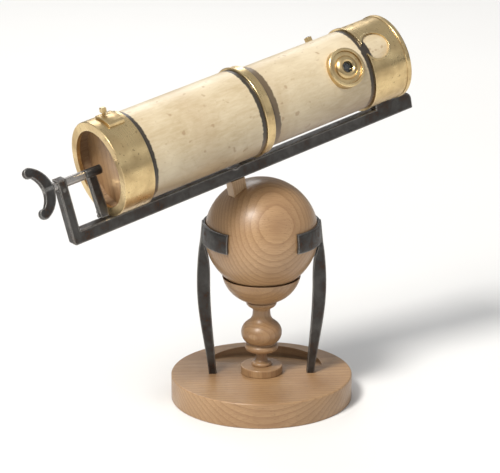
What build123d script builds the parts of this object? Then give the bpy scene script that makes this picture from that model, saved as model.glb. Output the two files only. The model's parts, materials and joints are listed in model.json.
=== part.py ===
"""A small reflecting telescope on a ball-and-socket stand, as separate pieces.

The frame's origin is the centre of the base's underside, +Z is up, and the tube heads towards +X.
Lengths are in millimetres. Places on the telescope are given in the tube's own frame: s runs
forward along the tube's axis from the rear ring's back face, n points up from the axis, and
w points out from the axis to the side that carries the eyepiece.
"""
from math import asin, atan, cos, radians, sin, sqrt, tan
import os

from build123d import *

os.makedirs("parts", exist_ok=True)

# ---- Driving dimensions -------------------------------------------------------------------

base_radius = 58.0
base_thickness = 16.4
stand_heading = -33.0        # direction of the right-hand leg, degrees from +X
ball_radius = 36.1
ball_height = 109.5          # ball centre above the table
tube_elevation = 11.0        # the tube's rise at rest, degrees
axis_above_ball = 82.0       # distance of the tube's axis from the ball's centre
ball_station = 104.5         # s of the point abreast of the ball's centre

hind_outer = 28.0
hind_inner = 26.2
fore_outer = 26.1            # slides in the hind tube with 0.1 to spare
fore_inner = 24.6
hind_start = 2.5
hind_end = 106.0
fore_start = 60.0
fore_end = 215.0

ring_outer = 29.8
ring_length = 21.0
ring_mouth = 24.3            # radius of the opening in the rear ring's back wall
band_start = 104.4
band_end = 110.8
band_outer = 28.7
band_bead = 29.4
sleeve_start = 189.5
sleeve_outer = 27.0
rim_outer = 27.6
rim_length = 3.3

bar_width = 7.0
bar_top = -31.1              # n of the iron bar's faces
bar_bottom = -39.5
bar_front = 231.6
pad_start = 203.0            # the bar is thicker from here on, under the front sleeve
upright_foot = -27.0         # s of the upright's back face at the bar's underside
upright_depth = 6.0
upright_lean = 4.0           # degrees that the upright leans back
iron_top = 3.6               # n of the top of the upright
screw_radius = 2.85
thread_radius = 1.9
running_gap = 0.07

eye_station = 170.5
eye_angle = 27.5             # degrees that the eyepiece stands above the horizontal side
nail_station = 92.5
nail_radius = 2.25
board_face = 9.5             # s of the back board's rear face
board_end = 15.5

UP = (Align.CENTER, Align.CENTER, Align.MIN)

# ---- Frames -------------------------------------------------------------------------------

rise = radians(tube_elevation)
forward = Vector(cos(rise), 0, sin(rise))
upward = Vector(-sin(rise), 0, cos(rise))
outward = Vector(0, -1, 0)
ball_centre = Vector(0, 0, ball_height)
tube_origin = ball_centre + upward * axis_above_ball - forward * ball_station
tube_axis = Axis(tube_origin, forward)
side = Plane(origin=tube_origin, x_dir=forward, z_dir=outward)   # local x, y, z are s, n, w
stand = Plane(origin=(0, 0, 0), x_dir=Vector(1, 0, 0).rotate(Axis.Z, stand_heading), z_dir=(0, 0, 1))


def section(station):
    """Plane across the tube at s; local y is n, and local x points away from the eyepiece side."""
    return Plane(origin=tube_origin + forward * station, x_dir=(0, 1, 0), z_dir=forward)


def radial(station, angle):
    """Plane whose z leaves the tube's axis at an angle above the horizontal; its x is forward."""
    direction = outward * cos(radians(angle)) + upward * sin(radians(angle))
    return Plane(origin=tube_origin + forward * station, x_dir=forward, z_dir=direction)


def stand_radial(angle):
    """Upright plane through the stand's axis: local x is the radius and local y is the height."""
    direction = stand.x_dir.rotate(Axis.Z, angle)
    return Plane(origin=(0, 0, 0), x_dir=direction, z_dir=direction.cross(Vector(0, 0, 1)))


def finish_piece(part, name):
    """Labels a piece and writes its file."""
    part.label = name
    export_step(part, f"parts/{name}.step")


# ---- Stand: base, flange, pillar and spring legs ------------------------------------------

hollow_heading = 49.0        # direction of the base's hollow, degrees from +X
hollow_centre = 13.0         # the hollow is turned round a point this far behind the pillar
hollow_radius = 37.5
hollow_start = 15.0          # its floor leaves the top here and slopes down towards the back
hollow_depth = 7.3
tenon_radius = 5.0
tenon_foot = 3.0             # the tenon's hole in the base is blind
flange_top = 21.6
leg_radius = 31.4            # the legs' feet, measured to their middles
foot_depth = 4.9
foot_width = 6.0
mortise_floor = 7.4

floor_slope = atan(hollow_depth / (hollow_centre + hollow_radius - hollow_start))
back = Plane(origin=(0, 0, 0), x_dir=Vector(1, 0, 0).rotate(Axis.Z, hollow_heading), z_dir=(0, 0, 1))
floor_plane = Plane(
    origin=back.from_local_coords((hollow_start, 0, base_thickness)),
    x_dir=back.y_dir,
    z_dir=back.x_dir * sin(floor_slope) + Vector(0, 0, cos(floor_slope)),
)

with BuildPart() as hollow:
    with BuildSketch(back):
        with Locations((hollow_centre, 0)):
            Circle(hollow_radius)
    extrude(amount=2 * base_thickness)
    with BuildSketch(floor_plane):
        with Locations((0, -base_radius)):
            Rectangle(3 * base_radius, 2 * base_radius)
    extrude(amount=base_thickness, mode=Mode.INTERSECT)

with BuildPart() as base:
    with BuildSketch():
        Circle(base_radius)
    extrude(amount=base_thickness)
    fillet(base.edges().filter_by(GeomType.CIRCLE).sort_by(Axis.Z)[-1], 1.0)
    chamfer(base.edges().filter_by(GeomType.CIRCLE).sort_by(Axis.Z)[0], 0.6)
    add(hollow.part, mode=Mode.SUBTRACT)
    with BuildSketch(stand.offset(mortise_floor)):
        with Locations((-leg_radius, 0), (leg_radius, 0)):
            Rectangle(foot_depth, foot_width)
    extrude(amount=base_thickness, mode=Mode.SUBTRACT)
    with BuildSketch(Plane.XY.offset(tenon_foot)):
        Circle(tenon_radius)
    extrude(amount=base_thickness, mode=Mode.SUBTRACT)
finish_piece(base.part, "base")

with BuildPart() as foot_flange:
    with BuildSketch(Plane.XY.offset(base_thickness)):
        Circle(13.4)
        Circle(tenon_radius, mode=Mode.SUBTRACT)
    extrude(amount=flange_top - base_thickness)
    fillet(foot_flange.edges().filter_by(GeomType.CIRCLE).sort_by(SortBy.RADIUS)[-2:], 0.7)
finish_piece(foot_flange.part, "foot_flange")

cup_bore = 37.0              # the cup's inside, which leaves room for its leather
cup_rim = 81.5
cup_lip = 0.7
rim_bore = sqrt(cup_bore**2 - (ball_height - cup_rim) ** 2)
wedge_slot = 1.2
wedge_height = 9.0

with BuildPart() as pillar:
    with BuildSketch(Plane.XZ):
        with BuildLine():
            Line((0, tenon_foot), (tenon_radius, tenon_foot))
            Polyline((tenon_radius, tenon_foot), (tenon_radius, flange_top), (6.2, flange_top))
            ThreePointArc((6.2, flange_top), (6.6, 22.7), (6.0, 23.8))
            ThreePointArc((6.0, 23.8), (4.4, 24.6), (3.7, 26.6))
            ThreePointArc((3.7, 26.6), (3.5, 29.0), (3.9, 31.0))
            Polyline((3.9, 31.0), (8.6, 31.6))
            ThreePointArc((8.6, 31.6), (10.7, 33.9), (9.2, 36.2))
            Line((9.2, 36.2), (8.9, 36.8))
            ThreePointArc((8.9, 36.8), (13.0, 43.2), (9.7, 50.4))
            Line((9.7, 50.4), (9.2, 50.8))
            ThreePointArc((9.2, 50.8), (6.4, 53.8), (5.7, 57.2))
            ThreePointArc((5.7, 57.2), (5.8, 59.4), (6.5, 60.8))
            ThreePointArc((6.5, 60.8), (8.9, 61.9), (9.9, 64.4))
            Line((9.9, 64.4), (9.3, 65.2))
            ThreePointArc((9.3, 65.2), (19.6, 71.4), (rim_bore + cup_lip, cup_rim))
            Line((rim_bore + cup_lip, cup_rim), (rim_bore, cup_rim))
            cup_mid = 0.5 * asin(rim_bore / cup_bore)
            ThreePointArc(
                (rim_bore, cup_rim),
                (cup_bore * sin(cup_mid), ball_height - cup_bore * cos(cup_mid)),
                (0, ball_height - cup_bore),
            )
            Line((0, ball_height - cup_bore), (0, tenon_foot))
        make_face()
    revolve(axis=Axis.Z)
    with BuildSketch(Plane.XY.offset(tenon_foot)):
        Rectangle(wedge_slot, 4 * tenon_radius)
    extrude(amount=wedge_height, mode=Mode.SUBTRACT)
finish_piece(pillar.part, "pillar")

with BuildPart() as tenon_wedge:
    with BuildSketch(Plane.XY.offset(tenon_foot)):
        Circle(tenon_radius)
        Rectangle(wedge_slot, 2 * tenon_radius, mode=Mode.INTERSECT)
    extrude(amount=wedge_height)
finish_piece(tenon_wedge.part, "tenon_wedge")

claw_inner = ball_radius + 0.3
claw_outer = 38.0
claw_top = 8.0               # heights above the ball's centre
claw_foot = -4.6
claw_reach = 54.0            # degrees that each claw goes round the ball, to each side of its leg
leg_half_width = 4.2
leg_clearance = ball_radius + 0.5
shoulder = -11.5             # the leg's inside follows the ball down to here


def beside_ball(radius, height):
    """Point on a sphere about the ball's centre, at a height above that centre."""
    return (sqrt(radius**2 - height**2), ball_height + height)


def build_leg(turn):
    """One spring leg: a bowed strip that rises from the base and ends in a broad claw on the ball."""
    with BuildPart() as leg:
        with BuildSketch(stand_radial(turn)):
            with BuildLine():
                outside = Spline(
                    (leg_radius + foot_depth / 2, base_thickness),
                    (35.9, 32.0),
                    (38.8, 50.0),
                    (40.7, 67.0),
                    (41.0, 80.0),
                    (40.3, 93.0),
                    (38.9, 104.0),
                    tangents=((0.10, 1), (-0.20, 1)),
                )
                crown = beside_ball(leg_clearance, claw_top)
                Polyline(outside @ 1, (37.6, ball_height + claw_top), crown)
                ThreePointArc(
                    crown,
                    beside_ball(leg_clearance, 0),
                    beside_ball(leg_clearance, shoulder),
                )
                inside = Spline(
                    beside_ball(leg_clearance, shoulder),
                    (32.9, 89.0),
                    (32.6, 76.0),
                    (32.4, 65.0),
                    (31.6, 50.0),
                    (30.5, 36.0),
                    (leg_radius - foot_depth / 2, base_thickness),
                    tangents=((-0.35, -1), (-0.08, -1)),
                )
                Line(inside @ 1, outside @ 0)
            make_face()
        extrude(amount=leg_half_width, both=True)
        taper = Plane(origin=(0, 0, 0), x_dir=-stand_radial(turn).z_dir, z_dir=stand_radial(turn).x_dir)
        with BuildSketch(taper):
            top = ball_height + claw_top
            Polygon(
                (-foot_width / 2, base_thickness),
                (foot_width / 2, base_thickness),
                (leg_half_width, 80.0),
                (leg_half_width, top),
                (-leg_half_width, top),
                (-leg_half_width, 80.0),
                align=None,
            )
        extrude(amount=60.0, mode=Mode.INTERSECT)
        with BuildSketch(stand_radial(turn - claw_reach)):
            with BuildLine():
                heights = (claw_foot, (claw_foot + claw_top) / 2, claw_top)
                grip = ThreePointArc(*(beside_ball(claw_inner, height) for height in heights))
                back_face = ThreePointArc(*(beside_ball(claw_outer, height) for height in heights))
                Line(grip @ 0, back_face @ 0)
                Line(grip @ 1, back_face @ 1)
            make_face()
        revolve(axis=Axis.Z, revolution_arc=2 * claw_reach)
        with BuildSketch(stand.offset(mortise_floor)):
            with Locations(Location((leg_radius * cos(radians(turn)), 0))):
                Rectangle(foot_depth, foot_width)
        extrude(amount=base_thickness - mortise_floor)
    return leg.part


for name, turn in (("right_spring_leg", 0.0), ("left_spring_leg", 180.0)):
    finish_piece(build_leg(turn), name)

# ---- Ball, its leather, and the nail that the telescope turns on ---------------------------

leather_inner = ball_radius + 0.15
leather_outer = cup_bore - 0.15
leather_low = 12.0           # degrees from straight down
leather_high = 37.0


def under_ball(radius, angle):
    """Point on a sphere about the ball's centre, an angle away from straight down."""
    return (radius * sin(radians(angle)), ball_height - radius * cos(radians(angle)))


with BuildPart() as socket_leather:
    with BuildSketch(Plane.XZ):
        with BuildLine():
            middle = (leather_low + leather_high) / 2
            places = (leather_low, middle, leather_high)
            outer_arc = ThreePointArc(*(under_ball(leather_outer, angle) for angle in places))
            inner_arc = ThreePointArc(*(under_ball(leather_inner, angle) for angle in places))
            Line(outer_arc @ 0, inner_arc @ 0)
            Line(outer_arc @ 1, inner_arc @ 1)
        make_face()
    revolve(axis=Axis.Z)
finish_piece(socket_leather.part, "socket_leather")

nail_top = bar_top - 0.4
nail_tip = -84.0
nail_head_radius = 4.0
nail_head_height = 2.0
nail_plane = Plane(origin=side.from_local_coords((nail_station, 0, 0)), x_dir=forward, z_dir=upward)

with BuildPart() as ball_nail:
    with BuildSketch(Plane(nail_plane.origin, x_dir=forward, z_dir=outward)):
        Polygon(
            (0, nail_top),
            (nail_head_radius, nail_top),
            (nail_radius, nail_top - nail_head_height),
            (nail_radius, nail_tip + 4.0),
            (0, nail_tip),
            align=None,
        )
    revolve(axis=Axis(nail_plane.origin, upward))
finish_piece(ball_nail.part, "ball_nail")

with BuildPart() as ball_shape:
    with Locations(Location(ball_centre)):
        Sphere(ball_radius)

with BuildPart() as ball:
    add(ball_shape.part)
    add(ball_nail.part, mode=Mode.SUBTRACT)
finish_piece(ball.part, "ball")

block_length = 10.0
block_top = bar_bottom - 0.15

with BuildPart() as nail_block:
    with BuildSketch(nail_plane.offset(block_top)):
        Rectangle(block_length, bar_width)
    extrude(amount=-16.0)
    add(ball_shape.part, mode=Mode.SUBTRACT)
    add(ball_nail.part, mode=Mode.SUBTRACT)
finish_piece(nail_block.part, "nail_block")

# ---- Crooked iron and the screws that hold it to the front sleeve ---------------------------

sleeve_screw_radius = 1.4

with BuildPart() as sleeve_screws:
    for screw_station in (205.5, 212.0):
        foot = side.from_local_coords((screw_station, 0, 0))
        with BuildSketch(Plane(foot, x_dir=forward, z_dir=outward)):
            Polygon(
                (0, bar_bottom),
                (2.6, bar_bottom),
                (2.6, bar_bottom + 0.3),
                (sleeve_screw_radius, bar_bottom + 1.6),
                (sleeve_screw_radius, 0.3 - fore_inner),
                (0, 0.3 - fore_inner),
                align=None,
            )
        revolve(axis=Axis(foot, upward))
finish_piece(sleeve_screws.part, "sleeve_screws")

lean_back = tan(radians(upright_lean))
upright_top = upright_foot - lean_back * (iron_top - bar_bottom)
upright_span = upright_depth / cos(radians(upright_lean))
stay_height = -3.15          # n of the stay pin, which lies in the screw's groove
stay_radius = 0.7


def upright_back(height):
    """s of the upright's leaning back face at a height n."""
    return upright_foot - lean_back * (height - bar_bottom)


stay_station = upright_back(stay_height) + upright_span / 2
pad_top = -26.4              # above the sleeve's underside, which is cut out of the pad
pad_front_top = -27.75

with BuildPart() as stay_pin:
    with BuildSketch(side):
        with Locations((stay_station, stay_height)):
            Circle(stay_radius)
    extrude(amount=bar_width / 2 - 0.1, both=True)
finish_piece(stay_pin.part, "stay_pin")

with BuildPart() as sleeve_body:
    with BuildSketch(section(sleeve_start)):
        Circle(sleeve_outer)
    extrude(amount=fore_end - sleeve_start)

with BuildPart() as crooked_iron:
    with BuildSketch(side):
        Polygon(
            (upright_foot, bar_bottom),
            (bar_front, bar_bottom),
            (bar_front, pad_front_top),
            (fore_end - 0.1, pad_front_top),
            (fore_end - 0.1, pad_top),
            (pad_start, pad_top),
            (pad_start, bar_top),
            (upright_back(bar_top) + upright_span, bar_top),
            (upright_top + upright_span, iron_top),
            (upright_top, iron_top),
            align=None,
        )
    extrude(amount=bar_width / 2, both=True)
    across = crooked_iron.edges().filter_by(Axis(tube_origin, outward))
    fillet(across.sort_by(tube_axis)[-2:].sort_by(Axis.Z)[-1], 5.5)
    across = crooked_iron.edges().filter_by(Axis(tube_origin, outward))
    fillet(across.sort_by(Axis(tube_origin, forward + upward * 1.2))[0], 2.0)
    chamfer(crooked_iron.faces().sort_by(Axis.Y)[0].edges(), 0.5)
    chamfer(crooked_iron.faces().sort_by(Axis.Y)[-1].edges(), 0.5)
    with Locations(section(upright_top - 1.0)):
        Cylinder(screw_radius + running_gap, upright_span + 6.0, align=UP, mode=Mode.SUBTRACT)
    with BuildSketch(Plane(nail_plane.origin, x_dir=forward, z_dir=outward)):
        Polygon(
            (0, bar_top),
            (nail_head_radius + 0.25, bar_top),
            (nail_head_radius + 0.25, nail_top - 0.05),
            (nail_radius + running_gap, nail_top - nail_head_height - 0.1),
            (nail_radius + running_gap, bar_bottom),
            (0, bar_bottom),
            align=None,
        )
    revolve(axis=Axis(nail_plane.origin, upward), mode=Mode.SUBTRACT)
    add(sleeve_body.part, mode=Mode.SUBTRACT)
    add(sleeve_screws.part, mode=Mode.SUBTRACT)
    add(stay_pin.part, mode=Mode.SUBTRACT)
finish_piece(crooked_iron.part, "crooked_iron")

# ---- Eyepiece: flange, nut, eye cell, lens and its ring ------------------------------------

eye = radial(eye_station, eye_angle)
eye_profile = Plane(eye.origin, x_dir=forward, z_dir=forward.cross(eye.z_dir))
eye_axis = Axis(eye.origin, eye.z_dir)
spigot_radius = 7.0
flange_radius = 12.6
flange_face = 29.6           # heights along the eyepiece's axis, from the tube's axis
recess_floor = 28.2
cell_radius = 5.6
boss_radius = 7.6
eye_hole = 3.6
lens_radius = 4.5
lens_seat = 27.4
lens_top = lens_seat + 1.9
cell_foot = 22.4
boss_top = 31.0

with BuildPart() as tube_core:
    with BuildSketch(section(fore_start)):
        Circle(fore_outer)
    extrude(amount=fore_end - fore_start)

with BuildPart() as eyepiece_flange:
    with BuildSketch(eye_profile):
        Polygon(
            (cell_radius, 21.0),
            (spigot_radius, 21.0),
            (spigot_radius, 22.0),
            (flange_radius, 22.0),
            (flange_radius, flange_face - 0.6),
            (flange_radius - 0.6, flange_face),
            (10.7, flange_face),
            (10.2, recess_floor),
            (cell_radius, recess_floor),
            align=None,
        )
    revolve(axis=eye_axis)
    add(tube_core.part, mode=Mode.SUBTRACT)
    with BuildSketch(eye.offset(21.0)):
        Circle(spigot_radius)
        Circle(cell_radius, mode=Mode.SUBTRACT)
    extrude(amount=recess_floor - 21.0)
finish_piece(eyepiece_flange.part, "eyepiece_flange")

with BuildPart() as eyepiece_nut:
    with BuildSketch(eye.offset(21.2)):
        Circle(8.8)
        Circle(spigot_radius, mode=Mode.SUBTRACT)
    extrude(amount=1.6)
finish_piece(eyepiece_nut.part, "eyepiece_nut")

with BuildPart() as eye_cell:
    with BuildSketch(eye_profile):
        with BuildLine():
            Polyline((lens_radius, cell_foot), (cell_radius, cell_foot), (cell_radius, recess_floor))
            Line((cell_radius, recess_floor), (boss_radius, recess_floor))
            Line((boss_radius, recess_floor), (boss_radius, recess_floor + 0.8))
            ThreePointArc((boss_radius, recess_floor + 0.8), (6.6, 30.2), (eye_hole + 0.9, boss_top))
            Polyline((eye_hole + 0.9, boss_top), (eye_hole, boss_top - 0.6), (eye_hole, lens_top))
            Polyline((eye_hole, lens_top), (lens_radius, lens_top), (lens_radius, cell_foot))
        make_face()
    revolve(axis=eye_axis)
finish_piece(eye_cell.part, "eye_cell")

with BuildPart() as eye_lens:
    with BuildSketch(eye_profile):
        with BuildLine():
            Line((0, lens_seat), (0, lens_top))
            ThreePointArc((0, lens_top), (2.3, lens_seat + 1.6), (lens_radius, lens_seat + 0.7))
            Polyline((lens_radius, lens_seat + 0.7), (lens_radius, lens_seat), (0, lens_seat))
        make_face()
    revolve(axis=eye_axis)
finish_piece(eye_lens.part, "eye_lens")

with BuildPart() as lens_ring:
    with BuildSketch(eye.offset(lens_seat - 1.4)):
        Circle(lens_radius)
        Circle(3.3, mode=Mode.SUBTRACT)
    extrude(amount=1.4)
finish_piece(lens_ring.part, "lens_ring")

# ---- Flat mirror in its ring, on a wire -----------------------------------------------------

flat_radius = 8.0
flat_thickness = 2.4
flat_rim = 9.2
wire_radius = 1.2
wire_angle = eye_angle + 90.0
flat_normal = (eye.z_dir - forward).normalized()
wire = radial(eye_station, wire_angle)
flat = Plane(origin=eye.origin, x_dir=wire.z_dir, z_dir=flat_normal)

with BuildPart() as flat_mirror:
    with BuildSketch(flat):
        Circle(flat_radius)
    extrude(amount=-flat_thickness)
finish_piece(flat_mirror.part, "flat_mirror")

with BuildPart() as mirror_wire:
    with BuildSketch(wire.offset(flat_rim)):
        Circle(wire_radius)
    extrude(amount=29.2 - flat_rim)
finish_piece(mirror_wire.part, "mirror_wire")

with BuildPart() as mirror_ring:
    with BuildSketch(flat.offset(0.3)):
        Circle(flat_rim)
    extrude(amount=-flat_thickness - 1.2)
    with BuildSketch(wire.offset(flat_radius)):
        Circle(wire_radius + 1.0)
    extrude(amount=4.5)
    add(flat_mirror.part, mode=Mode.SUBTRACT)
    with BuildSketch(flat):
        Circle(flat_radius)
    extrude(amount=1.0, mode=Mode.SUBTRACT)
    add(mirror_wire.part, mode=Mode.SUBTRACT)
finish_piece(mirror_ring.part, "mirror_ring")

with BuildPart() as wire_nut:
    with BuildSketch(wire.offset(sleeve_outer - 1.2)):
        RegularPolygon(2.8, 6)
        Circle(wire_radius, mode=Mode.SUBTRACT)
    extrude(amount=3.0)
    add(tube_core.part, mode=Mode.SUBTRACT)
finish_piece(wire_nut.part, "wire_nut")

# ---- Fore tube and its brass ------------------------------------------------------------------

with BuildPart() as fore_tube:
    with BuildSketch(section(fore_start)):
        Circle(fore_outer)
        Circle(fore_inner, mode=Mode.SUBTRACT)
    extrude(amount=fore_end - fore_start)
    with BuildSketch(eye.offset(fore_inner / 2)):
        Circle(spigot_radius)
    extrude(amount=fore_outer, mode=Mode.SUBTRACT)
    add(mirror_wire.part, mode=Mode.SUBTRACT)
    add(sleeve_screws.part, mode=Mode.SUBTRACT)
finish_piece(fore_tube.part, "fore_tube")

lobe_station = 198.0
lobe_angle = 42.0
lobe_radius = 9.1

bead_outer = 27.6
bead_width = 1.2
lobe = radial(lobe_station, lobe_angle).offset(fore_inner / 2)

with BuildPart() as lobe_bead:
    with BuildSketch(lobe):
        Circle(lobe_radius + bead_width)
    extrude(amount=fore_outer)
    with BuildSketch(section(sleeve_start)):
        Circle(bead_outer)
        Circle(fore_outer, mode=Mode.SUBTRACT)
    extrude(amount=fore_end - sleeve_start, mode=Mode.INTERSECT)

with BuildPart() as front_sleeve:
    with BuildSketch(section(sleeve_start)):
        Circle(sleeve_outer)
        Circle(fore_outer, mode=Mode.SUBTRACT)
    extrude(amount=fore_end - sleeve_start)
    with BuildSketch(section(sleeve_start)):
        Circle(bead_outer)
        Circle(fore_outer, mode=Mode.SUBTRACT)
    extrude(amount=bead_width)
    add(lobe_bead.part)
    with BuildSketch(lobe):
        Circle(lobe_radius)
    extrude(amount=fore_outer, mode=Mode.SUBTRACT)
    add(sleeve_screws.part, mode=Mode.SUBTRACT)
finish_piece(front_sleeve.part, "front_sleeve")

with BuildPart() as front_rim:
    with BuildSketch(section(fore_end)):
        Circle(rim_outer)
        Circle(fore_inner, mode=Mode.SUBTRACT)
    extrude(amount=rim_length)
    fillet(front_rim.edges().filter_by(GeomType.CIRCLE).sort_by(SortBy.RADIUS)[-2:], 0.8)
finish_piece(front_rim.part, "front_rim")

# ---- Hind tube, its brass, the speculum and the hook --------------------------------------------

plate_outer = ring_outer + 1.7
pin_station = 10.8
pin_foot = 22.0              # distances from the tube's axis
pin_neck = 33.2
pin_top = 36.2
pin_head = 3.1

with BuildPart() as ring_pin:
    with BuildSketch(radial(pin_station, 90.0).offset(pin_foot)):
        Circle(0.9)
    extrude(amount=pin_neck - pin_foot)
    with BuildSketch(radial(pin_station, 90.0).offset(pin_neck)):
        Rectangle(pin_head, pin_head)
    extrude(amount=pin_top - pin_neck)
    chamfer(ring_pin.faces().sort_by(Axis(tube_origin, upward))[-1].edges(), 0.4)
finish_piece(ring_pin.part, "ring_pin")

hook_screw_radius = 0.7
hook_depth = 5.5
hook_width = 4.0
hook_foot = 0.2 - ring_outer
hook_top = -2.0
hook_lean = 3.1              # how far the hook's top stands behind its foot
nut_start = -9.5             # the round nut on top of the hook, as thick as the screw
nut_end = 1.3

with BuildPart() as hook_screws:
    for height in (-28.3, -25.7):
        with BuildSketch(section(-hook_depth - 1.0)):
            with Locations((0, height)):
                Circle(1.15)
        extrude(amount=1.0)
        with BuildSketch(section(-hook_depth)):
            with Locations((0, height)):
                Circle(hook_screw_radius)
        extrude(amount=hook_depth + hind_start - 0.2)
finish_piece(hook_screws.part, "hook_screws")

with BuildPart() as focus_hook:
    with BuildSketch(side):
        Polygon(
            (0, hook_foot),
            (0, -ring_mouth),
            (-hook_lean, hook_top),
            (-hook_lean - hook_depth, hook_top),
            (-hook_depth, hook_foot),
            align=None,
        )
    extrude(amount=hook_width / 2, both=True)
    chamfer(focus_hook.faces().sort_by(tube_axis)[0].edges(), 0.5)
    with BuildSketch(section(nut_start)):
        Circle(screw_radius)
    extrude(amount=nut_end - nut_start)
    with BuildSketch(section(nut_start)):
        Circle(thread_radius + running_gap)
    extrude(amount=nut_end - nut_start, mode=Mode.SUBTRACT)
    add(hook_screws.part, mode=Mode.SUBTRACT)
finish_piece(focus_hook.part, "focus_hook")

with BuildPart() as rear_ring:
    with BuildSketch(section(0)):
        Circle(ring_outer)
        Circle(ring_mouth, mode=Mode.SUBTRACT)
    extrude(amount=hind_start)
    with BuildSketch(section(hind_start)):
        Circle(ring_outer)
        Circle(hind_outer, mode=Mode.SUBTRACT)
    extrude(amount=ring_length - hind_start)
    fillet(rear_ring.edges().filter_by(GeomType.CIRCLE).sort_by(tube_axis)[0], 0.5)
    add(ring_pin.part, mode=Mode.SUBTRACT)
    add(hook_screws.part, mode=Mode.SUBTRACT)
finish_piece(rear_ring.part, "rear_ring")

plate_start = 6.5
plate_length = 11.0
plate_near = 12.0            # the plate's edges, to the eyepiece's side of the pin and beyond it
plate_far = 3.5

with BuildPart() as ring_plate:
    with BuildSketch(section(plate_start)):
        Circle(plate_outer)
        Circle(ring_outer, mode=Mode.SUBTRACT)
        with Locations((-plate_near, 0)):
            Rectangle(plate_near + plate_far, plate_outer, align=Align.MIN, mode=Mode.INTERSECT)
    extrude(amount=plate_length)
    add(ring_pin.part, mode=Mode.SUBTRACT)
finish_piece(ring_plate.part, "ring_plate")

with BuildPart() as hind_tube:
    with BuildSketch(section(hind_start)):
        Circle(hind_outer)
        Circle(hind_inner, mode=Mode.SUBTRACT)
    extrude(amount=hind_end - hind_start)
    add(ring_pin.part, mode=Mode.SUBTRACT)
finish_piece(hind_tube.part, "hind_tube")

with BuildPart() as mid_band:
    with BuildSketch(side):
        with BuildLine():
            Line((band_start, hind_outer), (band_start, band_outer))
            ThreePointArc(
                (band_start, band_outer),
                (band_start + 0.7, band_bead),
                (band_start + 1.4, band_outer),
            )
            Polyline(
                (band_start + 1.4, band_outer),
                (band_end - 0.3, band_outer),
                (band_end, band_outer - 0.3),
                (band_end, hind_inner),
                (hind_end, hind_inner),
                (hind_end, hind_outer),
                (band_start, hind_outer),
            )
        make_face()
    revolve(axis=tube_axis)
finish_piece(mid_band.part, "mid_band")

with BuildPart() as back_board:
    with BuildSketch(section(board_face)):
        Circle(hind_inner)
    extrude(amount=board_end - board_face)
    add(ring_pin.part, mode=Mode.SUBTRACT)
finish_piece(back_board.part, "back_board")

felt_thickness = 1.0
speculum_radius = 25.4
speculum_thickness = 8.5
speculum_curve = 355.0       # radius of the mirror's concave face
stop_bore = 23.6
stop_thickness = 2.5
speculum_back = board_end + felt_thickness
speculum_front = speculum_back + speculum_thickness
speculum_sag = speculum_curve - sqrt(speculum_curve**2 - speculum_radius**2)
half_sag = speculum_curve - sqrt(speculum_curve**2 - (speculum_radius / 2) ** 2)

with BuildPart() as speculum_felt:
    with BuildSketch(section(board_end)):
        Circle(speculum_radius)
    extrude(amount=felt_thickness)
finish_piece(speculum_felt.part, "speculum_felt")

with BuildPart() as speculum:
    with BuildSketch(side):
        with BuildLine():
            Polyline(
                (speculum_front - speculum_sag, 0),
                (speculum_back, 0),
                (speculum_back, speculum_radius),
                (speculum_front, speculum_radius),
            )
            ThreePointArc(
                (speculum_front, speculum_radius),
                (speculum_front - speculum_sag + half_sag, speculum_radius / 2),
                (speculum_front - speculum_sag, 0),
            )
        make_face()
    revolve(axis=tube_axis)
finish_piece(speculum.part, "speculum")

with BuildPart() as speculum_stop:
    with BuildSketch(section(speculum_front)):
        Circle(hind_inner)
        Circle(stop_bore, mode=Mode.SUBTRACT)
    extrude(amount=stop_thickness)
finish_piece(speculum_stop.part, "speculum_stop")

# ---- Focusing screw and its wing handle -----------------------------------------------------

screw_shoulder = -10.3       # the screw is turned down to its thread from here to its tip
screw_tip = 1.6
tang_radius = 1.6
wing_front = upright_back(0) - 2.3
wing_depth = 6.5
wing_thickness = 3.8
wing_turn = 24.0             # the wings' top leans away from the eyepiece side
wing_outer_radius = 17.3
wing_inner_radius = 13.6
knob_radius = 3.2
knob_back = 11.3
knob_out = 12.8
groove_width = 2 * stay_radius + 0.2
groove_radius = -stay_height - stay_radius - 0.08

with BuildPart() as focus_screw:
    with BuildSketch(side):
        Polygon(
            (wing_front - wing_depth, 0),
            (wing_front - wing_depth, tang_radius),
            (wing_front, tang_radius),
            (wing_front, screw_radius),
            (stay_station - groove_width / 2, screw_radius),
            (stay_station - groove_width / 2, groove_radius),
            (stay_station + groove_width / 2, groove_radius),
            (stay_station + groove_width / 2, screw_radius),
            (screw_shoulder, screw_radius),
            (screw_shoulder, thread_radius),
            (screw_tip - 0.5, thread_radius),
            (screw_tip, thread_radius - 0.5),
            (screw_tip, 0),
            align=None,
        )
    revolve(axis=tube_axis)
finish_piece(focus_screw.part, "focus_screw")

lean = radians(wing_turn)
wing_plane = Plane(
    origin=side.from_local_coords((wing_front, 0, 0)),
    x_dir=forward,
    z_dir=outward * cos(lean) + upward * sin(lean),
)

with BuildPart() as wing_handle:
    with BuildSketch(wing_plane):
        with Locations((-wing_outer_radius, 0)):
            Circle(wing_outer_radius)
        with Locations((-wing_depth - wing_inner_radius, 0)):
            Circle(wing_inner_radius, mode=Mode.SUBTRACT)
        Rectangle(knob_back, 60.0, align=(Align.MAX, Align.CENTER), mode=Mode.INTERSECT)
        with Locations((-knob_back, knob_out), (-knob_back, -knob_out)):
            Circle(knob_radius)
    extrude(amount=wing_thickness / 2, both=True)
    add(focus_screw.part, mode=Mode.SUBTRACT)
finish_piece(wing_handle.part, "wing_handle")
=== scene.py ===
"""A small reflecting telescope on a ball-and-socket stand: vellum, brass, forged iron and turned wood.

Places on the telescope are given in the tube's own frame, as in the CAD model: s runs forward along the
tube's axis from the rear ring's back face, w points out to the eyepiece's side, and n points up.
"""
import json
from math import atan2, cos, pi, radians, sin

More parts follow.
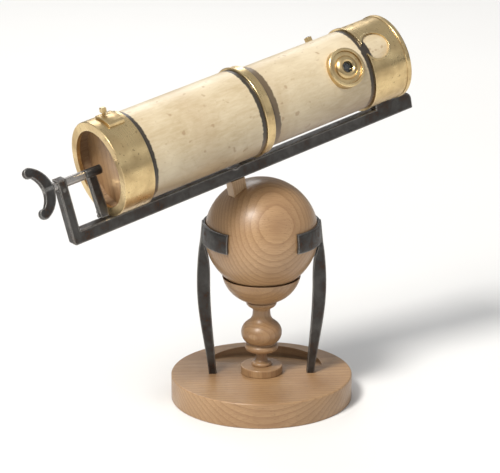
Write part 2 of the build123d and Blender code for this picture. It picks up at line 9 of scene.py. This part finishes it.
import bpy
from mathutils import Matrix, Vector


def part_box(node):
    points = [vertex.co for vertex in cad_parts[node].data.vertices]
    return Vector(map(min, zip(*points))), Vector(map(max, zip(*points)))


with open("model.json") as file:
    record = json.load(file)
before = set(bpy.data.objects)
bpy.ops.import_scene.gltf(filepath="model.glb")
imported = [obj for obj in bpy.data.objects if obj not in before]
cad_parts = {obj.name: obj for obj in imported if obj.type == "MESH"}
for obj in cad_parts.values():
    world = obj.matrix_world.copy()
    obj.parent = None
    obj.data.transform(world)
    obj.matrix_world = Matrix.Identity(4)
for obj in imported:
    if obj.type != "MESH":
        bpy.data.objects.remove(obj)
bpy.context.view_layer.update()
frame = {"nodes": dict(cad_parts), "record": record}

nodes = frame["nodes"]
behaviour = frame["record"]["behaviour"]
joints = {joint["name"]: joint for joint in behaviour["joints"]}

# ---- Where things are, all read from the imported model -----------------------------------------

tube_origin = Vector(joints["focus_turn"]["pos_m"])
forward = Vector(joints["focus_turn"]["axis"]).normalized()
rise = atan2(forward.z, forward.x)
ball_centre = Vector(joints["ball_tilt"]["pos_m"])


def middle(node):
    """Centre of a CAD node's box."""
    low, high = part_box(node)
    return (low + high) / 2


def along(node):
    """The least and greatest s that a CAD node reaches, in metres."""
    reach = [(vertex.co - tube_origin).dot(forward) for vertex in nodes[node].data.vertices]
    return min(reach), max(reach)


leg_line = middle("right_spring_leg") - middle("left_spring_leg")
heading = atan2(leg_line.y, leg_line.x)
ring_front = along("rear_ring")[1]
board_front = along("back_board")[1]
band_rear, band_front = along("mid_band")
sleeve_rear = along("front_sleeve")[0]
nut_rear = along("focus_hook")[0]

# Directions for materials: the frame's local x runs up the stand, along the tube or square to it.
upright = (0, -pi / 2, 0)
tube_turn = (0, -rise, 0)
across_tube = (0, -pi / 2 - rise, 0)


# ---- Shader graphs ------------------------------------------------------------------------------

class Graph:
    """The nodes of one material. Each call adds a node and returns its output."""

    def __init__(self, name, **constants):
        self.material = bpy.data.materials.new(name)
        self.material.use_nodes = True
        self.tree = self.material.node_tree
        self.shader = self.tree.nodes["Principled BSDF"]
        for socket, value in constants.items():
            self.shader.inputs[socket.replace("_", " ")].default_value = value

    def node(self, kind, inputs=(), **settings):
        """Adds a node, sets what it is told to and fills or links its inputs."""
        made = self.tree.nodes.new("ShaderNode" + kind)
        for name, value in settings.items():
            setattr(made, name, value)
        for name, value in dict(inputs).items():
            self.put(made.inputs[name], value)
        return made

    def put(self, socket, value):
        if isinstance(value, bpy.types.NodeSocket):
            self.tree.links.new(value, socket)
        else:
            socket.default_value = value

    def space(self, origin=(0, 0, 0), turn=(0, 0, 0)):
        """Coordinates in metres in a frame that is moved and turned from the row's own."""
        coordinates = self.node("TexCoord").outputs["Object"]
        inputs = {"Vector": coordinates, "Location": origin, "Rotation": turn}
        return self.node("Mapping", inputs, vector_type="TEXTURE").outputs[0]

    def stretch(self, spot, scale):
        """Coordinates multiplied by a scale on each axis."""
        return self.node("Mapping", {"Vector": spot, "Scale": scale}).outputs[0]

    def noise(self, spot, scale, detail=3.0, rough=0.5, warp=0.0):
        inputs = {"Vector": spot, "Scale": scale, "Detail": detail, "Roughness": rough, "Distortion": warp}
        return self.node("TexNoise", inputs).outputs["Fac"]

    def math(self, operation, first, second=0.0, third=0.0):
        return self.node("Math", {0: first, 1: second, 2: third}, operation=operation).outputs[0]

    def remap(self, value, low, high, to_low=0.0, to_high=1.0, smooth=False):
        inputs = {"Value": value, "From Min": low, "From Max": high, "To Min": to_low, "To Max": to_high}
        kind = "SMOOTHSTEP" if smooth else "LINEAR"
        return self.node("MapRange", inputs, interpolation_type=kind).outputs["Result"]

    def blend(self, factor, first, second):
        """Mixes two colours: the first at a factor of 0, the second at 1."""
        made = self.node("Mix", data_type="RGBA")
        self.put(made.inputs[0], factor)
        for socket, value in ((made.inputs[6], first), (made.inputs[7], second)):
            self.put(socket, value if isinstance(value, bpy.types.NodeSocket) else (*value, 1.0))
        return made.outputs[2]

    def split(self, spot):
        """The x, y and z of a place."""
        return self.node("SeparateXYZ", {"Vector": spot}).outputs

    def crevice_shade(self, distance):
        """How shut in a place is by its own piece, from 0 in the open to 1 in a crevice: the mask by which
        shade is painted into crevices.
        """
        made = self.node("AmbientOcclusion", {"Distance": distance}, samples=6, only_local=True)
        return self.remap(made.outputs["AO"], 0.85, 0.35)

    def rounded(self, radius):
        """The surface's normal with its corners rounded off."""
        return self.node("Bevel", {"Radius": radius}, samples=4).outputs[0]

    def edges(self, radius):
        """1 along the piece's corners and 0 on its faces."""
        pair = {0: self.rounded(radius), 1: self.node("NewGeometry").outputs["Normal"]}
        alike = self.node("VectorMath", pair, operation="DOT_PRODUCT").outputs["Value"]
        return self.remap(alike, 0.995, 0.90)

    def bump(self, height, depth, normal=None):
        """Surface relief; depth is in metres."""
        inputs = {"Height": height, "Distance": depth, "Strength": 1.0}
        if normal is not None:
            inputs["Normal"] = normal
        return self.node("Bump", inputs).outputs[0]

    def finish(self, colour, roughness, normal=None):
        self.put(self.shader.inputs["Base Color"], colour)
        self.put(self.shader.inputs["Roughness"], roughness)
        if normal is not None:
            self.put(self.shader.inputs["Normal"], normal)
        return self.material


def tube_space(graph):
    """Coordinates x = s, y = -w, z = n."""
    return graph.space(tube_origin, tube_turn)


def from_axis(graph, spot):
    """How far a place is from the local x axis."""
    x, y, z = graph.split(spot)
    return graph.math("SQRT", graph.math("ADD", graph.math("MULTIPLY", y, y), graph.math("MULTIPLY", z, z)))


def round_axis(graph, spot):
    """The angle of a place round the local x axis."""
    x, y, z = graph.split(spot)
    return graph.math("ARCTAN2", z, y)


def rings_apart(graph, spot, places, width):
    """1 within a width of any of the given s, fading to 0."""
    run = graph.split(spot)[0]
    mask = 0.0
    for place in places:
        near = graph.math("ABSOLUTE", graph.math("SUBTRACT", run, place))
        mask = graph.math("MAXIMUM", mask, graph.remap(near, width, 0.0, smooth=True))
    return mask


# ---- Materials ------------------------------------------------------------------------------------

light_wood = (0.43, 0.265, 0.13)
dark_wood = (0.25, 0.13, 0.058)
hind_radius = 0.028          # of the hind tube's vellum
fore_radius = 0.0261         # of the fore tube's vellum
seam_angle = radians(-60.0)  # of the vellum's lap joint, low on the side away from the eyepiece
lap_width = 0.30             # round the tube, in radians, over which the lap thins out
step_shadow_width = 0.0058         # of the painted shadow line beside a brass ring's step
shine_width = 0.016          # of a rubbed stretch
lining_depth = 0.0006        # from the vellum's face to where its pasteboard shows
thread_lead = 2 * pi / abs(behaviour["couplings"][0]["ratio"])  # the tube's travel for a turn of the screw


def wood(name, origin, turn, ring_gap, pale, dark):
    """Waxed turned wood. The grain runs along the local x of the frame that origin and turn give."""
    graph = Graph(name, Coat_Weight=0.22, Coat_Roughness=0.25)
    spot = graph.space(origin, turn)
    from_pith = from_axis(graph, spot)
    sway = graph.noise(graph.stretch(spot, (4, 17, 17)), 1.0, 2.0, 0.45)
    wander = graph.noise(graph.stretch(spot, (22, 110, 110)), 1.0, 2.0, 0.5)
    grown = graph.math("MULTIPLY_ADD", sway, 6.0 * ring_gap, from_pith)
    grown = graph.math("MULTIPLY_ADD", wander, 0.5 * ring_gap, grown)
    season = graph.math("FRACT", graph.math("DIVIDE", grown, ring_gap))
    late = graph.math("POWER", season, 2.5)
    late = graph.math("MULTIPLY", late, graph.remap(season, 1.0, 0.93, 0.0, 1.0, smooth=True))
    broad = graph.noise(spot, 28.0, 2.0)
    fibres = graph.noise(graph.stretch(spot, (60, 1600, 1600)), 1.0, 4.0, 0.6)
    pores = graph.remap(graph.noise(graph.stretch(spot, (180, 3000, 3000)), 1.0, 1.0), 0.66, 0.74)
    colour = graph.blend(graph.math("MULTIPLY", late, 0.7), pale, dark)
    colour = graph.blend(graph.remap(broad, 0.35, 0.7, 0.0, 0.45), colour, dark)
    colour = graph.blend(graph.remap(fibres, 0.42, 0.7, 0.0, 0.45), colour, dark)
    deep = tuple(0.3 * part for part in dark)
    colour = graph.blend(graph.math("MULTIPLY", pores, 0.6), colour, deep)
    # Painted shade: the wood's colour goes dark in the piece's own crevices.
    wood_crevice_shade = graph.math("MULTIPLY", graph.crevice_shade(0.006), 0.8)
    colour = graph.blend(wood_crevice_shade, colour, deep)
    worn = graph.math("MULTIPLY", graph.edges(0.0012), graph.remap(broad, 0.35, 0.6, 0.1, 0.6))
    light = tuple(min(1.0, 1.2 * part + 0.05) for part in pale)
    colour = graph.blend(worn, colour, light)
    roughness = graph.remap(graph.noise(spot, 60.0, 4.0, 0.6), 0.3, 0.7, 0.32, 0.52)
    height = graph.math("SUBTRACT", graph.math("MULTIPLY", fibres, 0.6), graph.math("MULTIPLY", pores, 0.7))
    return graph.finish(colour, roughness, graph.bump(height, 0.00008, graph.rounded(0.0006)))


def vellum(name, radius, shadowed_steps, burnished, black_from):
    """Sized vellum over pasteboard, which is bare inside up to black_from and painted black in front of it.

    The first list of s gives the steps beside which a shadow is painted all round as a near-black line;
    burnished gives the s at which it is rubbed dark all round.
    """
    graph = Graph(name, Coat_Weight=0.18, Coat_Roughness=0.3, Sheen_Weight=0.05)
    spot = tube_space(graph)
    cloud = graph.noise(spot, 34.0, 4.0, 0.55, 0.6)
    fleck = graph.noise(spot, 420.0, 2.0, 0.6)
    veins = graph.node("TexVoronoi", {"Vector": graph.stretch(spot, (1.0, 2.2, 2.2)), "Scale": 55.0},
                       feature="DISTANCE_TO_EDGE").outputs["Distance"]
    veins = graph.remap(veins, 0.0, 0.05, 1.0, 0.0)
    fibre = graph.noise(graph.stretch(spot, (140, 620, 620)), 1.0, 5.0, 0.62)
    colour = graph.blend(graph.remap(cloud, 0.35, 0.68), (0.67, 0.56, 0.38), (0.50, 0.385, 0.225))
    colour = graph.blend(graph.remap(fibre, 0.4, 0.75, 0.0, 0.35), colour, (0.76, 0.67, 0.49))
    colour = graph.blend(graph.math("MULTIPLY", veins, 0.10), colour, (0.42, 0.29, 0.15))
    spots = graph.remap(graph.noise(spot, 210.0, 1.0), 0.69, 0.76, 0.0, 0.55)
    colour = graph.blend(spots, colour, (0.33, 0.20, 0.10))
    colour = graph.blend(graph.remap(fleck, 0.62, 0.75, 0.0, 0.25), colour, (0.40, 0.28, 0.15))
    # Painted shadow: a near-black line beside each brass ring's step, its edge made ragged by the flecks.
    near_step_shadow = rings_apart(graph, spot, shadowed_steps, step_shadow_width)
    step_shadow_line = graph.remap(graph.math("MULTIPLY_ADD", fleck, 0.5, near_step_shadow), 0.64, 0.80)
    colour = graph.blend(graph.math("MULTIPLY", step_shadow_line, 0.97), colour, (0.018, 0.012, 0.008))
    # Painted shade: the vellum is coloured darker towards the tube's underside.
    x, y, z = graph.split(spot)
    cloudy_z = graph.math("MULTIPLY_ADD", cloud, -0.35 * radius, z)
    underside_shade = graph.remap(cloudy_z, -0.2 * radius, -1.1 * radius, 0.0, 0.75, smooth=True)
    colour = graph.blend(underside_shade, colour, (0.20, 0.125, 0.065))
    shine = rings_apart(graph, spot, burnished, shine_width)
    colour = graph.blend(graph.math("MULTIPLY", shine, 0.25), colour, (0.40, 0.27, 0.14))
    outside = graph.remap(from_axis(graph, spot), radius - lining_depth, radius - lining_depth / 2)
    board = graph.blend(graph.remap(fibre, 0.35, 0.7), (0.22, 0.13, 0.065), (0.34, 0.22, 0.12))
    painted = graph.remap(x, black_from - 0.0005, black_from)
    lining = graph.blend(painted, board, (0.016, 0.014, 0.012))
    colour = graph.blend(outside, lining, colour)
    smooth = graph.remap(cloud, 0.3, 0.7, 0.34, 0.50)
    polish = graph.math("MULTIPLY", outside, graph.math("SUBTRACT", 0.85, smooth))
    roughness = graph.math("SUBTRACT", 0.85, polish)
    height = graph.math("ADD", graph.math("MULTIPLY", cloud, 2.2), graph.math("MULTIPLY", fibre, 0.35))
    height = graph.math("ADD", height, graph.math("MULTIPLY", veins, 0.12))
    round_tube = round_axis(graph, spot)
    lap = graph.remap(round_tube, seam_angle, seam_angle + 0.012)
    thinning = graph.remap(round_tube, seam_angle + 0.012, seam_angle + lap_width, 1.0, 0.0)
    height = graph.math("MULTIPLY_ADD", graph.math("MULTIPLY", lap, thinning), 2.0, height)
    from_seam = graph.math("ABSOLUTE", graph.math("SUBTRACT", round_tube, seam_angle))
    joint = graph.remap(from_seam, 0.010, 0.002)
    colour = graph.blend(graph.math("MULTIPLY", joint, 0.6), colour, (0.09, 0.055, 0.03))
    return graph.finish(colour, roughness, graph.bump(height, 0.00016))


def brass(name, origin, turn):
    """Satin brass with lathe lines across the local x, painted dark as shade in its corners and bright on
    its edges.
    """
    graph = Graph(name, Metallic=1.0, Anisotropic=0.35)
    spot = graph.space(origin, turn)
    lines = graph.noise(graph.stretch(spot, (2600, 60, 60)), 1.0, 4.0, 0.65)
    cloud = graph.noise(spot, 70.0, 5.0, 0.6, 0.4)
    patches = graph.remap(cloud, 0.42, 0.66)
    colour = graph.blend(graph.math("MULTIPLY", patches, 0.55), (0.74, 0.56, 0.29), (0.36, 0.24, 0.115))
    colour = graph.blend(graph.remap(lines, 0.4, 0.8, 0.0, 0.3), colour, (0.55, 0.37, 0.17))
    freckles = graph.remap(graph.noise(spot, 520.0, 2.0), 0.66, 0.74, 0.0, 0.6)
    colour = graph.blend(freckles, colour, (0.16, 0.10, 0.05))
    # Painted shade: the colour darkens, and the roughness rises, in the piece's own crevices.
    dark = graph.math("MULTIPLY", graph.crevice_shade(0.003), 0.8)
    colour = graph.blend(dark, colour, (0.10, 0.065, 0.035))
    bright = graph.math("MULTIPLY", graph.edges(0.0007), graph.remap(cloud, 0.3, 0.6, 0.9, 0.35))
    colour = graph.blend(bright, colour, (0.88, 0.72, 0.43))
    satin = graph.remap(cloud, 0.35, 0.68, 0.22, 0.42)
    roughness = graph.math("ADD", satin, graph.math("MULTIPLY", dark, 0.3))
    roughness = graph.math("ADD", roughness, graph.remap(lines, 0.3, 0.7, -0.04, 0.06))
    return graph.finish(colour, roughness, graph.bump(lines, 0.000025, graph.rounded(0.0004)))


def iron(name, turn, worn=0.7, forged=1.0, thread_from=None):
    """Forged iron: hammer dimples, a black skin with brown rust in it, painted shade in its crevices, and
    corners rubbed to grey metal.

    Worn is how bright its corners are. With forged at 0 it is turned and polished by use. From the s of
    thread_from on, a two-start thread is cut round the tube's axis, its roots painted dark as shade.
    """
    graph = Graph(name, Metallic=0.85)
    spot = graph.space(tube_origin, turn)
    dents = graph.node("TexVoronoi", {"Vector": spot, "Scale": 210.0, "Smoothness": 0.6},
                       feature="SMOOTH_F1").outputs["Distance"]
    cloud = graph.noise(spot, 95.0, 5.0, 0.62, 0.5)
    scale = graph.noise(spot, 900.0, 4.0, 0.7)
    polish = 1.0 - forged
    pale = Vector((1.0, 0.95, 0.90)) * (0.085 + 0.33 * polish)
    skin = Vector((1.0, 0.93, 0.87)) * (0.034 + 0.20 * polish)
    colour = graph.blend(graph.remap(cloud, 0.35, 0.7), pale, skin)
    rust = graph.math("MULTIPLY", graph.remap(cloud, 0.5, 0.72), graph.remap(scale, 0.45, 0.62))
    colour = graph.blend(graph.math("MULTIPLY", rust, 0.3 + 0.4 * forged), colour, (0.15, 0.062, 0.026))
    # Painted shade: the colour goes near black in the piece's own crevices.
    dark = graph.crevice_shade(0.004)
    colour = graph.blend(graph.math("MULTIPLY", dark, 0.7), colour, (0.03, 0.024, 0.02))
    bright = graph.math("MULTIPLY", graph.edges(0.0014), graph.remap(scale, 0.25, 0.55, 0.3, 1.0))
    colour = graph.blend(graph.math("MULTIPLY", bright, worn), colour, (0.46, 0.44, 0.41))
    roughness = graph.remap(scale, 0.3, 0.7, 0.24 + 0.12 * forged, 0.38 + 0.14 * forged)
    roughness = graph.math("ADD", roughness, graph.math("MULTIPLY", rust, 0.3))
    roughness = graph.math("SUBTRACT", roughness, graph.math("MULTIPLY", bright, 0.15))
    height = graph.math("MULTIPLY", scale, 0.14)
    height = graph.math("MULTIPLY_ADD", dents, 0.9 * forged, height)
    normal = graph.bump(height, 0.00022, graph.rounded(0.0005))
    if thread_from is not None:
        x = graph.split(spot)[0]
        turns = graph.math("DIVIDE", round_axis(graph, spot), -2 * pi)
        climb = graph.math("MULTIPLY_ADD", x, 1 / thread_lead, turns)
        crest = graph.math("PINGPONG", graph.math("MULTIPLY", climb, 2.0), 0.5)
        cut = graph.remap(x, thread_from, thread_from + 0.0002)
        normal = graph.bump(graph.math("MULTIPLY", crest, cut), 0.0009, normal)
        # Painted shade: the thread's roots, which are only bumped, are coloured near black.
        thread_root_shade = graph.math("MULTIPLY", graph.remap(crest, 0.22, 0.0), cut)
        colour = graph.blend(graph.math("MULTIPLY", thread_root_shade, 0.8), colour, (0.02, 0.016, 0.013))
    return graph.finish(colour, roughness, normal)


def leather(name):
    """Oiled brown leather with a pebbled grain."""
    graph = Graph(name, Sheen_Weight=0.15)
    spot = graph.space()
    pebble = graph.node("TexVoronoi", {"Vector": spot, "Scale": 1100.0}, feature="F1").outputs["Distance"]
    cloud = graph.noise(spot, 90.0, 4.0)
    colour = graph.blend(graph.remap(cloud, 0.3, 0.7), (0.16, 0.075, 0.032), (0.07, 0.03, 0.014))
    colour = graph.blend(graph.remap(pebble, 0.5, 0.9, 0.0, 0.5), colour, (0.03, 0.014, 0.008))
    roughness = graph.remap(cloud, 0.3, 0.7, 0.5, 0.7)
    return graph.finish(colour, roughness, graph.bump(pebble, -0.00012))


def felt(name):
    """Dark wool felt."""
    graph = Graph(name, Sheen_Weight=0.5, Sheen_Roughness=0.6)
    spot = graph.space()
    fibre = graph.noise(spot, 2200.0, 5.0, 0.7, 1.2)
    colour = graph.blend(graph.remap(fibre, 0.3, 0.7), (0.09, 0.075, 0.06), (0.19, 0.16, 0.13))
    return graph.finish(colour, graph.remap(fibre, 0.3, 0.7, 0.85, 1.0), graph.bump(fibre, 0.0003))


def speculum_metal(name):
    """Polished bell metal with a faint tarnish."""
    graph = Graph(name, Metallic=1.0)
    spot = tube_space(graph)
    cloud = graph.noise(spot, 60.0, 5.0, 0.6, 0.5)
    haze = graph.remap(cloud, 0.45, 0.7)
    colour = graph.blend(graph.math("MULTIPLY", haze, 0.5), (0.78, 0.75, 0.69), (0.55, 0.47, 0.36))
    specks = graph.remap(graph.noise(spot, 800.0, 2.0), 0.7, 0.76)
    colour = graph.blend(specks, colour, (0.25, 0.20, 0.15))
    roughness = graph.remap(haze, 0.0, 1.0, 0.05, 0.16)
    roughness = graph.math("ADD", roughness, graph.math("MULTIPLY", specks, 0.3))
    return graph.finish(colour, roughness, graph.bump(specks, -0.00002))


def glass(name):
    """Old greenish glass with faint dust."""
    graph = Graph(name, Transmission_Weight=1.0, IOR=1.52)
    spot = graph.space()
    dust = graph.remap(graph.noise(spot, 1500.0, 4.0, 0.7), 0.55, 0.8)
    colour = graph.blend(graph.math("MULTIPLY", dust, 0.3), (0.93, 0.98, 0.95), (0.7, 0.68, 0.6))
    return graph.finish(colour, graph.remap(dust, 0.0, 1.0, 0.02, 0.25))


# ---- Camera, light and floor ------------------------------------------------------------------------

camera_target = Vector((0, 0, 0.110))
light_target = Vector((0, 0, 0.13))


def look_from(azimuth, elevation, target, distance):
    """Where to stand, and how to turn, to look at the target from an azimuth and elevation in degrees."""
    turn = radians(azimuth)
    lift = radians(elevation)
    back = Vector((sin(turn) * cos(lift), -cos(turn) * cos(lift), sin(lift)))
    return target + back * distance, (-back).to_track_quat("-Z", "Y").to_euler()


def add_camera():
    """The camera at the picture's viewing angle."""
    camera = bpy.data.objects.new("camera", bpy.data.cameras.new("camera"))
    bpy.context.scene.collection.objects.link(camera)
    camera.location, camera.rotation_euler = look_from(-34.5, 17.094, camera_target, 1.5033)
    camera.data.lens = 171.45
    camera.data.shift_x = -0.0230
    camera.data.shift_y = -0.0078
    bpy.context.scene.camera = camera


def add_light(name, kind, azimuth, elevation, distance, strength, colour):
    """A light aimed at the telescope. Returns its data, for the size or spread that its kind takes."""
    lamp = bpy.data.lights.new(name, kind)
    lamp.energy = strength
    lamp.color = colour
    light = bpy.data.objects.new(name, lamp)
    bpy.context.scene.collection.objects.link(light)
    light.location, light.rotation_euler = look_from(azimuth, elevation, light_target, distance)
    return lamp


def add_sun(azimuth, elevation, spread, strength, colour):
    """A sun whose disc is spread over some degrees, for soft shadows."""
    lamp = add_light("sun", "SUN", azimuth, elevation, 2.0, strength, colour)
    lamp.angle = radians(spread)


def add_lamp(name, azimuth, elevation, distance, size, power, colour):
    """A round studio light."""
    lamp = add_light(name, "AREA", azimuth, elevation, distance, power, colour)
    lamp.shape = "DISK"
    lamp.size = size


def add_stage():
    """A plain pale floor."""
    graph = Graph("stage_paper", Specular_IOR_Level=0.2)
    shade = graph.noise(graph.space(), 2.5, 3.0)
    graph.finish(graph.blend(shade, (0.80, 0.79, 0.77), (0.84, 0.835, 0.82)), 0.8)
    mesh = bpy.data.meshes.new("floor")
    reach = 6.0
    corners = [(-reach, -reach, 0), (reach, -reach, 0), (reach, reach, 0), (-reach, reach, 0)]
    mesh.from_pydata(corners, [], [(0, 1, 2, 3)])
    mesh.materials.append(graph.material)
    floor = bpy.data.objects.new("floor", mesh)
    bpy.context.scene.collection.objects.link(floor)


def add_world():
    """A studio that is brighter overhead than at the horizon."""
    world = bpy.data.worlds.new("studio")
    bpy.context.scene.world = world
    world.use_nodes = True
    tree = world.node_tree
    direction = tree.nodes.new("ShaderNodeTexCoord").outputs["Generated"]
    height = tree.nodes.new("ShaderNodeSeparateXYZ")
    glow = tree.nodes.new("ShaderNodeMapRange")
    glow.inputs["From Max"].default_value = 0.75
    glow.inputs["To Min"].default_value = 0.13
    glow.inputs["To Max"].default_value = 0.50
    tree.links.new(direction, height.inputs[0])
    tree.links.new(height.outputs["Z"], glow.inputs["Value"])
    background = tree.nodes["Background"]
    background.inputs["Color"].default_value = (0.95, 0.97, 1.0, 1.0)
    tree.links.new(glow.outputs["Result"], background.inputs["Strength"])


# ---- Dress the CAD nodes ---------------------------------------------------------------------------

def dress(material, *names):
    """Gives a material to CAD nodes."""
    for name in names:
        mesh = nodes[name].data
        mesh.materials.clear()
        mesh.materials.append(material)


def soften(name, width, segments=2):
    """Rounds a CAD node's corners that are sharper than 35 degrees."""
    piece = nodes[name]
    piece.modifiers.new("weld", "WELD").merge_threshold = 1e-6
    bevel = piece.modifiers.new("bevel", "BEVEL")
    bevel.width = width
    bevel.segments = segments
    bevel.limit_method = "ANGLE"
    bevel.angle_limit = radians(35.0)
    bevel.harden_normals = True


base_wood = wood("base_wood", (0, 0.05, -0.06), (0, 0, heading), 0.0030, light_wood, dark_wood)
dress(base_wood, "base")
pillar_wood = wood("pillar_wood", (0.02, 0.011, 0), upright, 0.0020, light_wood, dark_wood)
dress(pillar_wood, "pillar", "foot_flange", "tenon_wedge")
ball_pith = ball_centre + Vector((0.012, 0.030, -0.020))
ball_turn = (0.2, 0.12, radians(-22))
ball_wood = wood("ball_wood", ball_pith, ball_turn, 0.0021, (0.47, 0.295, 0.15), dark_wood)
dress(ball_wood, "ball")
block_wood = wood("block_wood", (0.01, 0.004, 0.12), across_tube, 0.0016, (0.52, 0.35, 0.19), dark_wood)
dress(block_wood, "nail_block")
board_wood = wood("board_wood", (-0.12, 0.03, 0.02), across_tube, 0.0024, light_wood, dark_wood)
dress(board_wood, "back_board")
# The s of the hind tube's steps beside which a line of shadow is painted.
hind_step_shadows = (ring_front + 0.0006, band_rear)
dress(vellum("hind_vellum", hind_radius, hind_step_shadows, (0.062,), board_front), "hind_tube")
# The s of the fore tube's steps beside which a line of shadow is painted.
fore_step_shadows = (band_front + 0.0026, sleeve_rear)
dress(vellum("fore_vellum", fore_radius, fore_step_shadows, (band_front + 0.004,), 0.0), "fore_tube")
dress(brass("tube_brass", tube_origin, tube_turn), "rear_ring", "ring_plate", "mid_band", "front_sleeve",
      "front_rim", "speculum_stop")
dress(brass("pin_brass", tube_origin, across_tube), "ring_pin")
eye_centre = middle("eyepiece_flange")
eye_line = eye_centre - tube_origin
eye_line -= forward * eye_line.dot(forward)
eye_turn = eye_line.to_track_quat("X", "Z").to_euler()
dress(brass("eye_brass", eye_centre, eye_turn), "eyepiece_flange", "eyepiece_nut", "eye_cell", "lens_ring",
      "wire_nut")
dress(brass("mirror_brass", middle("mirror_ring"), (0, 0, 0)), "mirror_ring")
dress(iron("bar_iron", tube_turn), "crooked_iron", "stay_pin", "sleeve_screws", "focus_hook", "hook_screws",
      "mirror_wire")
dress(iron("handle_iron", tube_turn, 0.9), "wing_handle")
dress(iron("screw_iron", tube_turn, 0.9, 0.0, nut_rear - 0.0008), "focus_screw")
dress(iron("stand_iron", (0, 0, heading)), "left_spring_leg", "right_spring_leg", "ball_nail")
dress(leather("socket_hide"), "socket_leather")
dress(felt("wool_felt"), "speculum_felt")
dress(speculum_metal("bell_metal"), "speculum", "flat_mirror")
dress(glass("eye_glass"), "eye_lens")

for name in ("left_spring_leg", "right_spring_leg", "nail_block", "focus_hook"):
    soften(name, 0.0005)
for name in ("base", "ring_plate"):
    soften(name, 0.0003)
soften("wing_handle", 0.0006, 3)

add_camera()
add_stage()
add_world()
add_sun(-74.0, 52.0, 14.0, 2.3, (1.0, 0.98, 0.95))
add_lamp("key", -66.0, 48.0, 1.25, 0.42, 6.0, (1.0, 0.975, 0.94))
add_lamp("fill", 20.0, 24.0, 1.6, 1.1, 1.5, (0.94, 0.97, 1.0))
add_lamp("rim", 160.0, 35.0, 1.4, 0.6, 3.0, (1.0, 1.0, 1.0))
bpy.context.scene.view_settings.view_transform = "Standard"
